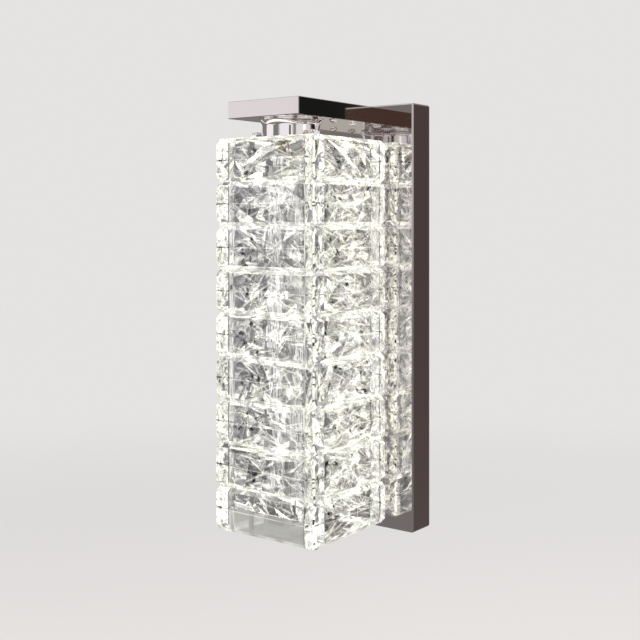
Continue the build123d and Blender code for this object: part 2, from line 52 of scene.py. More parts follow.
# Column of bars, in millimetres, as in the frame.
COLUMN_Y = -72.3
COLUMN_W = 86.0
LAYERS = 9
BAR_H = 30.24
BAR_T = 12.3
BAR_L = COLUMN_W - BAR_T
COLUMN_TOP_Z = 126.0
COLUMN_BOTTOM_Z = COLUMN_TOP_Z - LAYERS * BAR_H
JOINT_CHAMFER = 2.4
CORNER_CHAMFER = 1.3
END_CHAMFER = 0.5
REBATE_DEPTH = BAR_T - 9.8
REBATE_H = 3.1
SEAM = 0.06
# Length in millimetres of each pin's outer end, painted dark as shade.
PIN_PAINTED_SHADE = 4.0

# Collar, pipe and rods, as in the frame.
ARM_BOTTOM_Z = 139.2
PLATE_LOW_Z = COLUMN_BOTTOM_Z - 2.0
NECK_Y = -84.0
NECK_R, NECK_BORE_R, NECK_LIP_R = 20.0, 18.0, 22.7
NECK_FLARE_H, NECK_LIP_H, NECK_EDGE = 4.6, 0.9, 0.3
PIPE_R, PIPE_BORE_R = 5.0, 3.25
PIPE_LOW_Z, PIPE_HIGH_Z = 109.0, 147.0
ROD_R, ROD_X, ROD_Y = 2.0, 25.7, -90.5
ROD_LOW_Z, ROD_HIGH_Z = PLATE_LOW_Z - 3.2, 130.9
ROD_PLAIN_Z = (PLATE_LOW_Z + 12.0, 112.0)

# Threads: depth and pitch.
PIPE_THREAD = (0.35, 1.0)
ROD_THREAD = (0.25, 0.7)

# Nuts: half the width across the flats, height of the hexagon, radius of the bore.
PIPE_NUT = (7.0, 4.0, 5.05)
PIPE_NUT_ZS = (140.7, 119.0)
ROD_NUT = (3.5, 3.4, 2.05)

# Lock nut's round collar: radius and height above the hexagon of each of its edges.
LOCK_COLLAR = ((3.25, 0.0), (3.2, 1.0), (2.7, 1.5), (2.05, 1.5))

# Cap nut's blind bore and dome.
CAP_BORE_H = 3.3
CAP_DOME_R, CAP_DOME_H = 2.8, 2.4

# Domed screws: radius and height of the head, radius and length of the shank, half the recess's width.
COVER_SCREW = (2.8, 1.7, 1.5, 8.3, 1.0)
COVER_SCREW_XS, COVER_SCREW_YS = (-20.0, 20.0), (-62.0, -38.0)
EDGE_SCREW = (3.5, 1.4, 2.0, 6.0, 1.25)
EDGE_SCREW_Y, EDGE_SCREW_Z = -8.0, 152.5
FOOT_SCREW = (7.0, 3.2, 2.5, 10.0, 2.5)
RECESS_FLOOR, RECESS_RIM, DOME_FOOT = 0.45, 0.97, 0.25
SCREW_TIP = 0.3

# Height of the fine grain's relief, in metres.
GRAIN_HEIGHT = 0.0002

# Angles in degrees beyond which an edge stays sharp.
SHARP_CUT, SHARP_TURNED = 14.0, 32.0

# Looks that builders share: name, colour, metallic, roughness, then the grain's scale, shade and spread.
BRIGHT_PLATING = ("Bright plating", (0.93, 0.92, 0.92), 1, 0.08, 900, 0.02, 0.03)
STEEL_THREAD = ("Steel thread", (0.60, 0.61, 0.62), 1, 0.3, 500, 0.1, 0.2)


# ---------------------------------------------------------------- meshes from arrays


def tube_faces(rings, points):
    """Quads between neighbouring closed rings: corner (i, j) joins (i+1, j), (i+1, j+1), (i, j+1)."""
    i = np.arange(rings - 1)[:, None]
    j = np.arange(points)[None, :]
    nxt = (j + 1) % points
    quads = np.stack([i * points + j, (i + 1) * points + j, (i + 1) * points + nxt, i * points + nxt], -1)
    return quads.reshape(-1, 4)


def closed_tube(sections):
    """Vertices and faces of a tube through (rings, points, 3) sections, each end closed on its centre."""
    rings, points = sections.shape[:2]
    poles = np.stack([sections[0].mean(0), sections[-1].mean(0)])
    verts = np.concatenate([sections.reshape(-1, 3), poles])
    j = np.arange(points)
    nxt = (j + 1) % points
    last = (rings - 1) * points
    start = np.stack([np.full(points, rings * points), j, nxt], -1)
    end = np.stack([np.full(points, rings * points + 1), last + nxt, last + j], -1)
    return verts, tube_faces(rings, points), np.concatenate([start, end])


def closed_loop(sections):
    """Vertices and faces of a ring-shaped surface: (rings, points, 3) sections that close both ways."""
    rings, points = sections.shape[:2]
    quads = tube_faces(rings + 1, points) % (rings * points)
    return sections.reshape(-1, 3), quads, np.zeros((0, 3), int)


def joined(meshes):
    """One mesh from several: vertices one after another, and face numbers moved on to match."""
    starts = np.cumsum([0] + [len(m[0]) for m in meshes[:-1]])
    verts = np.concatenate([m[0] for m in meshes])
    quads = np.concatenate([m[1] + start for m, start in zip(meshes, starts)])
    triangles = np.concatenate([m[2] + start for m, start in zip(meshes, starts)])
    return verts, quads, triangles


def ring(radius, height):
    """Round station of a turned piece."""
    return False, radius, height, 0


def hex_ring(flat, height, limit):
    """Hexagonal station, with the radius that its corners are turned down to."""
    return True, flat, height, limit


def hexagon(flat, turn):
    """Distance from a hexagon's middle to its side at each turn, from half the width across its flats."""
    return flat / np.cos(turn % (pi / 3) - pi / 6)


def lathe(stations, points=72):
    """Sections of a turned piece round Z, from its stations.

    At a round station the radius is the same all round. At a hexagonal one it is the hexagon's, but never
    over the limit, which is how a turned chamfer trims the corners.
    """
    hexed, radius, height, limit = (np.array(column, float)[:, None] for column in zip(*stations))
    turn = np.linspace(0, 2 * pi, points, endpoint=False)[None, :]
    r = np.where(hexed > 0, np.minimum(hexagon(radius, turn), limit), radius + 0 * turn)
    return np.stack([r * np.cos(turn), r * np.sin(turn), height + 0 * r], -1)


def hex_sides(flat, low, high, steps=5):
    """Stations up a hexagonal side. At both ends a turned chamfer takes the corners down past the flats."""
    corner, trimmed, bevel = flat * 1.1547, flat * 0.97, flat * 0.09
    up = np.linspace(0, 1, steps)
    start = [hex_ring(flat, low + bevel * t, trimmed + (corner - trimmed) * t) for t in up]
    stop = [hex_ring(flat, high - bevel * t, trimmed + (corner - trimmed) * t) for t in up[::-1]]
    return start + stop


def dome(radius, low, height, steps=8):
    """Stations over a low dome: the height is that of an ellipse over the radius."""
    angle = np.linspace(0, pi / 2, steps)[:-1]
    return [ring(radius * np.cos(a), low + height * np.sin(a)) for a in angle]


def thread(outer, depth, pitch, low, high, points=32):
    """Sections of a threaded rod: the radius drops by a triangle wave of the height less the turn."""
    height = np.arange(low, high + pitch / 8, pitch / 4)[:, None]
    turn = np.linspace(0, 2 * pi, points, endpoint=False)[None, :]
    phase = (height / pitch - turn / (2 * pi)) % 1
    r = outer - depth * np.abs(2 * phase - 1)
    return np.stack([r * np.cos(turn), r * np.sin(turn), height + 0 * r], -1)


def domed_screw(head_r, head_h, shank_r, length, recess):
    """Sections of a screw that stands on its head's foot: hexagonal recess, dome and shank.

    The recess's floor closes over a small hexagon, and the dome starts a little outside the recess.
    """
    floor, rim, foot = (head_h * share for share in (RECESS_FLOOR, RECESS_RIM, DOME_FOOT))
    inside = [hex_ring(recess * 0.4, floor, 2 * recess), hex_ring(recess, floor, 2 * recess)]
    inside += [hex_ring(recess, rim, 2 * recess)]
    over = [station for station in dome(head_r, foot, head_h - foot)[::-1] if station[1] > recess * 1.25]
    shank = [ring(head_r, 0), ring(shank_r, 0), ring(shank_r, SCREW_TIP - length)]
    return lathe([*inside, *over, *shank, ring(shank_r - SCREW_TIP, -length)])


def neck_sections():
    """Collar whose wall flares out by a power of the height to a thin lip under the arm."""
    lip_z, spread = ARM_BOTTOM_Z - NECK_LIP_H, NECK_LIP_R - NECK_R
    foot = [
        ring(NECK_BORE_R, COLUMN_TOP_Z),
        ring(NECK_R - NECK_EDGE, COLUMN_TOP_Z),
        ring(NECK_R, COLUMN_TOP_Z + NECK_EDGE),
    ]
    flare = [ring(NECK_R + spread * t**2.5, lip_z + NECK_FLARE_H * (t - 1)) for t in np.linspace(0, 1, 24)]
    lip = [
        ring(NECK_LIP_R, ARM_BOTTOM_Z - NECK_EDGE),
        ring(NECK_LIP_R - NECK_EDGE, ARM_BOTTOM_Z),
        ring(NECK_BORE_R, ARM_BOTTOM_Z),
    ]
    return lathe(foot + flare + lip, 128)


def pipe_nut():
    """Sections of a plain hexagonal nut."""
    flat, height, bore = PIPE_NUT
    return lathe([ring(bore, 0), *hex_sides(flat, 0, height), ring(bore, height)])


def lock_nut():
    """Sections of a lock nut: a hexagon with a low round collar on it, which holds the nylon ring."""
    flat, height, bore = ROD_NUT
    collar = [ring(radius, height + above) for radius, above in LOCK_COLLAR]
    return lathe([ring(bore, 0), *hex_sides(flat, 0, height), *collar])


def cap_nut():
    """Sections of a cap nut: a blind bore, a hexagon and a dome."""
    flat, height, bore = ROD_NUT
    blind = [ring(bore / 2, CAP_BORE_H), ring(bore, CAP_BORE_H), ring(bore, 0)]
    return lathe([*blind, *hex_sides(flat, 0, height), *dome(CAP_DOME_R, height, CAP_DOME_H)])


def tie_rod():
    """Sections of a rod with a thread at each end and a plain middle."""
    low = thread(ROD_R, *ROD_THREAD, ROD_LOW_Z, ROD_PLAIN_Z[0])
    high = thread(ROD_R, *ROD_THREAD, ROD_PLAIN_Z[1], ROD_HIGH_Z)
    return np.concatenate([low, high])


def lamp_pipe(points=48):
    """Sections up a threaded pipe and back down its plain bore."""
    outside = thread(PIPE_R, *PIPE_THREAD, PIPE_LOW_Z, PIPE_HIGH_Z, points)
    bore = outside[::-1] * (0, 0, 1) + lathe([ring(PIPE_BORE_R, 0)], points)
    return np.concatenate([outside, bore])


def moved(sections, x, y, z, flip=False):
    """Sections set at a place, upside down when flipped."""
    turned_over = sections * (1, -1, -1) if flip else sections
    return turned_over + (x, y, z)


def new_piece(name, verts, quads, triangles, slot, material, sharp=SHARP_CUT, marks=None):
    """Mesh object from arrays in millimetres, with outward normals and edges sharp beyond an angle.

    Marks are three numbers per vertex: painted light, painted shade and the light's warmth. They are kept
    as the attribute "cut" for the material to read.
    """
    loops = np.concatenate([quads.ravel(), triangles.ravel()])
    sizes = np.concatenate([np.full(len(quads), 4), np.full(len(triangles), 3)])
    starts = np.concatenate([[0], np.cumsum(sizes)[:-1]])
    mesh = bpy.data.meshes.new(name)
    mesh.vertices.add(len(verts))
    mesh.vertices.foreach_set("co", (verts * MM).astype(np.float32).ravel())
    mesh.loops.add(len(loops))
    mesh.loops.foreach_set("vertex_index", loops.astype(np.int32))
    mesh.polygons.add(len(sizes))
    mesh.polygons.foreach_set("loop_start", starts.astype(np.int32))
    mesh.update(calc_edges=True)
    mesh.validate()
    if signed_volume(verts, quads, triangles) < 0:
        mesh.flip_normals()
    mesh.polygons.foreach_set("use_smooth", np.ones(len(sizes), bool))
    mesh.set_sharp_from_angle(angle=radians(sharp))
    if marks is not None:
        layer = mesh.attributes.new("cut", "FLOAT_VECTOR", "POINT")
        layer.data.foreach_set("vector", marks.astype(np.float32).ravel())
    mesh.materials.append(material)
    piece = bpy.data.objects.new(name, mesh)
    bpy.context.scene.collection.objects.link(piece)
    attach(piece, "root")
    return piece


def fine_piece(node, slot, material, meshes):
    """One new piece in the place of a CAD node, from the closed meshes of its turned parts."""
    piece = new_piece(f"fine_{node}", *joined(meshes), slot, material, sharp=SHARP_TURNED)
    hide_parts(node)


def signed_volume(verts, quads, triangles):
    """Volume inside a closed mesh: a sixth of the sum of the triple products of its triangles."""
    faces = np.concatenate([quads[:, [0, 1, 2]], quads[:, [0, 2, 3]], triangles])
    a, b, c = (verts[faces[:, k]] for k in range(3))
    return float(np.einsum("ij,ij->i", a, np.cross(b, c)).sum() / 6)


# ---------------------------------------------------------------- materials


def put(tree, socket, value):
    """Feed a socket: another socket is linked to it, a number, vector or colour is set, None leaves it."""
    if isinstance(value, bpy.types.NodeSocket):
        tree.links.new(value, socket)
    elif value is not None:
        socket.default_value = value


def calc(tree, operation, *values):
    """Output of a Math node."""
    node = tree.nodes.new("ShaderNodeMath")
    node.operation = operation
    for socket, value in zip(node.inputs, values):
        put(tree, socket, value)
    return node.outputs[0]


def vector_calc(tree, operation, *values):
    """Output of a Vector Math node: a number for a length or a dot product, and a vector for the others."""
    node = tree.nodes.new("ShaderNodeVectorMath")
    node.operation = operation
    for socket, value in zip(node.inputs, values):
        put(tree, socket, value)
    return node.outputs["Value" if operation in ("LENGTH", "DOT_PRODUCT") else "Vector"]


def scaled(tree, vector, factor):
    """Vector or colour times a number."""
    return vector_calc(tree, "SCALE", vector, None, None, factor)


def ramp(tree, value, low, high, floor=0.0, kind="SMOOTHSTEP"):
    """Value carried from a range to that between a floor and one."""
    node = tree.nodes.new("ShaderNodeMapRange")
    node.interpolation_type = kind
    for name, given in (("Value", value), ("From Min", low), ("From Max", high), ("To Min", floor)):
        put(tree, node.inputs[name], given)
    return node.outputs["Result"]


def mixed(tree, factor, first, second):
    """Colour between two."""
    node = tree.nodes.new("ShaderNodeMix")
    node.data_type = "RGBA"
    for name, given in (("Factor", factor), ("A", first), ("B", second)):
        put(tree, node.inputs[name], given)
    return node.outputs["Result"]


def split(tree, vector):
    """X, Y and Z of a vector."""
    node = tree.nodes.new("ShaderNodeSeparateXYZ")
    put(tree, node.inputs[0], vector)
    return node.outputs


def own_place(tree):
    """The object's own coordinates."""
    return tree.nodes.new("ShaderNodeTexCoord").outputs["Object"]


def soft_noise(tree, vector, scale, detail=2.0, distortion=0.0):
    """Soft noise from 0 to 1."""
    node = tree.nodes.new("ShaderNodeTexNoise")
    for name, given in (("Vector", vector), ("Scale", scale), ("Detail", detail), ("Distortion", distortion)):
        put(tree, node.inputs[name], given)
    return node.outputs["Fac"]


def relief(tree, height, strength, distance):
    """Normal of a surface whose relief is a height times a distance in metres."""
    node = tree.nodes.new("ShaderNodeBump")
    for name, given in (("Strength", strength), ("Distance", distance), ("Height", height)):
        put(tree, node.inputs[name], given)
    return node.outputs["Normal"]


def shader_group(name, inputs, outputs):
    """Empty shader node group: its tree, what comes in and where the results go."""
    tree = bpy.data.node_groups.new(name, "ShaderNodeTree")
    for socket, kind, value in inputs:
        item = tree.interface.new_socket(socket, in_out="INPUT", socket_type=kind)
        item.default_value = value
    for socket, kind in outputs:
        tree.interface.new_socket(socket, in_out="OUTPUT", socket_type=kind)
    return tree, tree.nodes.new("NodeGroupInput").outputs, tree.nodes.new("NodeGroupOutput").inputs


def use_group(tree, group, values):
    """Outputs of a group's node, with its inputs set by name."""
    node = tree.nodes.new("ShaderNodeGroup")
    node.node_tree = group
    for name, value in values.items():
        put(tree, node.inputs[name], value)
    return node.outputs


def principled(name, values):
    """Material, its tree and the sockets of its Principled shader, set by name."""
    material = bpy.data.materials.new(name)
    material.use_nodes = True
    sockets = material.node_tree.nodes["Principled BSDF"].inputs
    for socket, value in values.items():
        put(material.node_tree, sockets[socket], value)
    return material, material.node_tree, sockets


def grain_group():
    """Fine uneven grain: one noise shifts a colour and a roughness, and is also given as a height."""
    found = bpy.data.node_groups.get("Fine grain")
    if found:
        return found
    tree, given, result = shader_group(
        "Fine grain",
        [
            ("Colour", "NodeSocketColor", (0.7, 0.7, 0.7, 1)),
            ("Scale", "NodeSocketFloat", 400.0),
            ("Shade", "NodeSocketFloat", 0.06),
            ("Roughness", "NodeSocketFloat", 0.3),
            ("Roughness spread", "NodeSocketFloat", 0.1),
        ],
        [("Colour", "NodeSocketColor"), ("Roughness", "NodeSocketFloat"), ("Height", "NodeSocketFloat")],
    )
    height = soft_noise(tree, own_place(tree), given["Scale"], 4)
    centred = calc(tree, "SUBTRACT", height, 0.5)
    shade = calc(tree, "MULTIPLY_ADD", centred, given["Shade"], 1.0)
    rough = calc(tree, "MULTIPLY_ADD", centred, given["Roughness spread"], given["Roughness"])
    put(tree, result["Colour"], scaled(tree, given["Colour"], shade))
    put(tree, result["Roughness"], rough)
    put(tree, result["Height"], height)
    return tree


def plain_material(name, colour, metallic, roughness, scale=400.0, shade=0.06, spread=0.1, bump=0.0):
    """Material whose colour and roughness carry the fine grain."""
    material, tree, shader = principled(name, {"Metallic": metallic})
    grain = use_group(
        tree,
        grain_group(),
        {
            "Colour": (*colour, 1),
            "Scale": scale,
            "Shade": shade,
            "Roughness": roughness,
            "Roughness spread": spread,
        },
    )
    put(tree, shader["Base Color"], grain["Colour"])
    put(tree, shader["Roughness"], grain["Roughness"])
    if bump:
        put(tree, shader["Normal"], relief(tree, grain["Height"], bump, GRAIN_HEIGHT))
    return material


def shared_material(name, *look):
    """Plain material that several builders use: made once and found by its name."""
    return bpy.data.materials.get(name) or plain_material(name, *look)


def cut_light_group():
    """Colour and painted light of a cut face from its "cut" attribute: painted light, painted shade and
    warmth.
    """
    tree, given, result = shader_group(
        "Cut light",
        [
            ("Tint", "NodeSocketColor", (1, 1, 1, 1)),
            ("Cool light", "NodeSocketColor", (1, 1, 1, 1)),
            ("Warm light", "NodeSocketColor", (1, 1, 0.8, 1)),
        ],
        [("Colour", "NodeSocketColor"), ("Light", "NodeSocketColor")],
    )
    marks = tree.nodes.new("ShaderNodeAttribute")
    marks.attribute_name = "cut"
    mark = split(tree, marks.outputs["Vector"])
    clear = calc(tree, "SUBTRACT", 1.0, mark["Y"])
    put(tree, result["Colour"], scaled(tree, given["Tint"], clear))
    colour = mixed(tree, mark["Z"], given["Cool light"], given["Warm light"])
    put(tree, result["Light"], scaled(tree, colour, mark["X"]))
    return tree


def crystal_material(settings):
    """Clear glass. Its cut faces glow with painted light and darken what is behind them with painted shade.
    """
    values = {
        "Metallic": 0,
        "Roughness": settings.roughness,
        "IOR": settings.ior,
        "Transmission Weight": 1,
        "Emission Strength": settings.caught,
    }
    material, tree, shader = principled("Crystal", values)
    material.cycles.emission_sampling = "NONE"
    # Colours of the painted light, cool and warm.
    lights = {"Cool light": (1.0, 1.0, 0.93, 1), "Warm light": (0.98, 1.0, 0.76, 1)}
    cut = use_group(tree, cut_light_group(), {"Tint": (*settings.tint, 1), **lights})
    put(tree, shader["Base Color"], cut["Colour"])
    put(tree, shader["Emission Color"], cut["Light"])
    ripples = soft_noise(tree, own_place(tree), 60, 1, 0.6)
    put(tree, shader["Normal"], relief(tree, ripples, 1.0, settings.ripple * MM))
    return material


def pin_material():
    """Bright steel pin whose outer end is painted dark as shade, found by the distance from the column's
    middle.
    """
    material, tree, shader = principled("Pin", {"Metallic": 1, "Roughness": 0.25})
    from_middle = vector_calc(tree, "SUBTRACT", own_place(tree), (0, COLUMN_Y * MM, 0))
    size = split(tree, vector_calc(tree, "ABSOLUTE", from_middle))
    far = calc(tree, "MAXIMUM", size["X"], size["Y"])
    end = calc(tree, "GREATER_THAN", far, (COLUMN_W / 2 - PIN_PAINTED_SHADE) * MM)
    put(tree, shader["Base Color"], mixed(tree, end, (0.92, 0.92, 0.90, 1), (0.05, 0.05, 0.05, 1)))
    return material


def light_material(colour, strength):
    """Lit diffuser: a glow in upright ribs, from a stretched noise, that fades out towards the foot."""
    values = {"Base Color": (0.45, 0.44, 0.45, 1), "Roughness": 0.5, "Emission Strength": strength}
    material, tree, shader = principled("Light strip", values)
    place = own_place(tree)
    dark_z, lit_z = (COLUMN_BOTTOM_Z + BAR_H * share for share in (0.5, 0.9))
    fade = ramp(tree, split(tree, place)["Z"], dark_z * MM, lit_z * MM)
    ribs = soft_noise(tree, vector_calc(tree, "MULTIPLY", place, (900, 900, 60)), 1.0)
    bright = ramp(tree, ribs, 0.42, 0.58, 0.15, "LINEAR")
    glow = scaled(tree, colour, calc(tree, "MULTIPLY", fade, bright))
    put(tree, shader["Emission Color"], glow)
    return material


def dress(names, material):
    """Give CAD nodes a material and leave their meshes as they are."""
    for name in names:
        mesh = NODES[name].data
        mesh.materials.clear()
        mesh.materials.append(material)


# ---------------------------------------------------------------- crystal bars


def scoops(x, z, rng, count, depth):
    """Depth cut from a face by overlapping rounded chips.

    Each chip is an elliptic scoop: its depth less the squared distance from its middle along and across
    its own turned axis. The cut is the deepest chip at each point, so the chips meet in sharp ridges.
    """
    cx, cz, turn = scatter(rng, count, 0.8)
    long_r = rng.uniform(9, 24, count)
    short_r = rng.uniform(3, 7, count)
    deep = rng.uniform(0.3, 1.0, count) * depth
    u, v = turned(x, z, cx, cz, turn)
    return np.maximum((deep * (1 - (u / long_r) ** 2 - (v / short_r) ** 2)).max(-1), 0)


def pits(x, z, rng, count, depth):
    """Depth cut from a face by flat-sided pits, and the painted shade of the flat that each point lies on.

    Each pit is a pyramid on its head: its depth falls straight with the distance along and across its
    own turned axis, at another slope on each of its four sides. The cut is the deepest pit at each point.
    """
    cx, cz, turn = scatter(rng, count, 0.7)
    deep = rng.uniform(0.55, 1.0, count) * depth
    across = deep / rng.uniform(4.5, 12.0, (2, count))
    along = deep / rng.uniform(12.0, 45.0, (2, count))
    u, v = turned(x, z, cx, cz, turn)
    fall = np.where(v > 0, across[0], across[1]) * np.abs(v) + np.where(u > 0, along[0], along[1]) * np.abs(u)
    heights = deep - fall
    # Painted shade: each flat of each pit darkens what is behind it by its own random amount, outside the
    # pits a little.
    painted_flat_shades = rng.uniform(0, 1, (4, count)) ** 1.5
    side = 2 * (u > 0) + (v > 0)
    painted_flat_shade = painted_flat_shades[side, np.arange(count)]
    first = heights.argmax(-1)[..., None]
    shade = np.take_along_axis(painted_flat_shade, first, -1)[..., 0]
    cut = np.take_along_axis(heights, first, -1)[..., 0]
    return np.maximum(cut, 0), np.where(cut > 0, shade, 0.2)


def strewn(rng, count, middle, spread, turn):
    """Middles strewn round a point, and turns round a common lean."""
    across = rng.normal(middle[0], spread[0], count)
    up = rng.normal(middle[1], spread[1], count)
    return across, up, rng.normal(*turn, count)


def fanned(rng, count, corner, angles, reach):
    """Middles along rays that leave a corner, each turned along its ray."""
    angle = rng.uniform(*angles, count)
    away = rng.uniform(*reach, count)
    return corner[0] + away * np.cos(angle), corner[1] + away * np.sin(angle), angle


def slivers(x, z, rng, spots, long_mm, short_mm):
    """Strength of the strongest of many thin splinters of light at each point.

    A splinter is a lozenge on a turned axis: full in the middle, and nothing where the distances along
    and across, in half lengths and half widths, add up to one.
    """
    cx, cz, turn = spots
    u, v = turned(x, z, cx, cz, turn)
    inside = 1 - np.abs(u) / rng.uniform(*long_mm, len(cx)) - np.abs(v) / rng.uniform(*short_mm, len(cx))
    return (np.clip(2.5 * inside, 0, 1) * rng.uniform(0.3, 1.0, len(cx)) ** 1.3).max(-1)


def face_marks(x, z, rng, side, shade, layer):
    """Painted light, painted shade and warmth over a bar's inner face.

    Painted splinters of light lie mostly level, in a band along each joint and in fans from the bar's left
    corners and its middle, where short upright ones stand close together. Small dark chips of painted
    shade lie near the left end and here and there. In the lowest front and left bars the lower half of
    the inner face is painted an even grey, a painted reflection.
    """
    half_l, middle = BAR_L / 2, BAR_H / 2
    busy = 1.0 if side in ("front", "left") else 1.7
    whole = (half_l * 0.7, middle * 0.7)
    along = (half_l * 0.8, 2.0)
    # Each group: strength, where its splinters lie, and their half lengths and half widths in millimetres.
    groups = [
        (1.0, strewn(rng, int(20 * busy), (0, middle), whole, (0, 0.4)), (4, 15), (0.35, 1.2)),
        (1.0, fanned(rng, int(7 * busy), (-half_l, 0), (0.1, 0.6), (8, 50)), (6, 16), (0.35, 1.0)),
        (1.0, fanned(rng, int(7 * busy), (-half_l, BAR_H), (-0.6, -0.1), (8, 50)), (6, 16), (0.35, 1.0)),
        (1.0, fanned(rng, 9, (3, middle), (-0.5, 0.4), (5, 28)), (5, 12), (0.3, 0.7)),
        (1.0, strewn(rng, 14, (0, 0), along, (0.15, 0.25)), (3, 12), (0.4, 1.8)),
        (1.0, strewn(rng, 14, (0, BAR_H), along, (-0.15, 0.25)), (3, 12), (0.4, 1.8)),
        (0.9, strewn(rng, 7, (0, middle), (half_l * 0.9, middle), (0, 0.4)), (5, 12), (1.6, 4.0)),
        (1.0, strewn(rng, 18, (3, middle), (4.0, 6), (1.57, 0.08)), (2, 6), (0.25, 0.6)),
    ]
    light = np.maximum.reduce([strength * slivers(x, z, rng, *group) for strength, *group in groups])
    # Painted shade: small dark chips black out what is behind them, and the painted light is taken away
    # there.
    near_left = strewn(rng, 7, (-half_l * 0.62, middle), (7, 7), (-0.6, 0.8))
    chips = slivers(x, z, rng, near_left, (1.5, 4.5), (0.9, 2.4))
    anywhere = strewn(rng, 6, (0, middle), (half_l, 9), (0, 0.8))
    chips = np.maximum(chips, slivers(x, z, rng, anywhere, (0.8, 2.5), (0.4, 1.0)))
    chips = np.clip(2.5 * chips, 0, 1)
    light = light * (1 - chips)
    shade = np.maximum(0.8 * shade, chips)
    warm = np.clip(np.abs(x) / half_l * 0.9 + rng.uniform(-0.3, 0.3), 0, 1)
    # Painted reflection: in the lowest front and left bars the lower inner face is an even grey of set
    # painted light and painted shade.
    if layer == 0 and side in ("front", "left"):
        foot = np.clip((middle - z) / 0.7, 0, 1) * np.clip((half_l - BAR_T - x) / 0.7, 0, 1)
        light = light * (1 - foot) + 0.42 * foot
        shade = shade * (1 - foot) + 0.85 * foot
        warm = warm * (1 - foot)
    return light, shade, warm


def scatter(rng, count, spread):
    """Random middles over a bar's face, and turns that lean to the level."""
    return (
        rng.uniform(-BAR_L / 2, BAR_L / 2, count),
        rng.uniform(0, BAR_H, count),
        rng.normal(0, spread, count),
    )


def turned(x, z, cx, cz, turn):
    """Distances along and across a turned axis through each middle."""
    dx = x[..., None] - cx
    dz = z[..., None] - cz
    return dx * np.cos(turn) + dz * np.sin(turn), dz * np.cos(turn) - dx * np.sin(turn)


def bar_marks(x, outer_shape, flat_shape, rng, settings, warm):
    """Marks of a bar's outer face and of its flat faces at the joints.

    The outer face has painted light along both joints, unevenly, along its ridge, and at its two ends, where
    the right one has short dark dashes of painted shade. The flat faces have painted light along their outer
    edge.
    """
    half_l, steps = BAR_L / 2, outer_shape[1]
    outer = np.zeros((*outer_shape, 3))
    outer[..., 2] = warm[:, ::-1]
    patches = strewn(rng, 16, (0, 0), (half_l * 0.6, 0.2), (0, 0.01))
    uneven = 0.25 + 0.75 * slivers(x, 0 * x, rng, patches, (3, 16), (0.6, 1.0))[:, 0]
    outer[:, [0, -1], 0] = 0.45 * settings.seam * uneven[:, None]
    outer[:, steps // 2, 0] = settings.ridge * uneven[::-1]
    # Painted shade in short dark dashes along the right end's chamfer, with painted light between them.
    painted_shade_flecks = np.repeat(rng.uniform(0, 1, steps), 3)[:steps] <= 0.12
    outer[-2:, :, 0] = np.where(painted_shade_flecks, 0.0, 0.8)
    outer[-2:, :, 1] = np.where(painted_shade_flecks, 1.0, 0.0)
    outer[-2:, :, 2] = 0.8
    outer[:2, :, 0] = 0.25
    flat = np.zeros((*flat_shape, 3))
    flat[:, :, 2] = 0.3
    flat[:, 0, 0] = 0.4 * settings.seam * uneven
    return outer, flat


def bar_end(section, rng):
    """Rings that close a bar's right end towards its middle, with painted splinters of light and dark chips
    of painted shade.
    """
    middle_point = section.mean(0)
    scale = np.linspace(1, 0.08, 9)[1:, None, None]
    end = middle_point + (section - middle_point) * scale
    y, z, centre = end[..., 1], end[..., 2], (BAR_T / 2, BAR_H / 2)
    light = slivers(y, z, rng, strewn(rng, 20, centre, (4, 9), (1.2, 0.5)), (2, 9), (0.3, 1.2))
    chips = slivers(y, z, rng, strewn(rng, 7, centre, (4, 10), (1.4, 0.3)), (1, 5), (0.3, 0.8))
    chips = np.clip(2.5 * chips, 0, 1)
    return end, np.stack([1.05 * light * (1 - chips), chips, 0 * light + 1.0], -1)


def outer_face(x, z, rise, rng, settings):
    """Depth of the outer face below its highest line.

    Two low slopes meet in a ridge at mid-height, and a third falls towards the left end. Shallow waves run
    over them and fade out at all edges. The chamfers step in at both ends.
    """
    half_l, middle = BAR_L / 2, BAR_H / 2
    step = np.clip(x - (half_l - CORNER_CHAMFER), 0, None) + np.clip(-half_l + END_CHAMFER - x, 0, None)
    up_slope, down_slope, hip = rng.uniform(0.03, 0.06, 3)
    roof = np.maximum(up_slope * (z - middle), down_slope * (middle - z))
    roof = np.maximum(roof, hip * (-half_l * 0.6 - x))
    wave = scoops(x + 0 * z, z, rng, 12, 1.0) * settings.outer
    wave = wave * np.clip((half_l - 3 - np.abs(x)) / 3, 0, 1) * np.clip(8 * rise * (1 - rise), 0, 1)
    return step + roof + wave


def inner_face(x, z, layer, rng, settings):
    """Depth cut from the inner face by pits and scoops, and the painted shade of the pits' flats.

    The cut fades out before the joint with the next bar. The lowest layer is cut in its upper half only,
    and the top layer has the rebate for the hanger plate.
    """
    joint_x = BAR_L / 2 - BAR_T
    fade = np.clip((joint_x - 0.6 - x) / 0.8, 0, 1)
    cut, painted_flat_shade = pits(x, z, rng, settings.pits, settings.depth)
    cut = np.maximum(cut, scoops(x, z, rng, settings.scoops, settings.depth * 0.6))
    if layer == 0:
        fade = fade * np.clip((z - BAR_H / 2) / 1.0, 0, 1)
    cut = cut * fade
    if layer == LAYERS - 1:
        inside = (x < joint_x + 2.5) & (z > BAR_H - REBATE_H)
        cut = np.where(inside, np.maximum(cut, REBATE_DEPTH), cut)
    return cut, painted_flat_shade


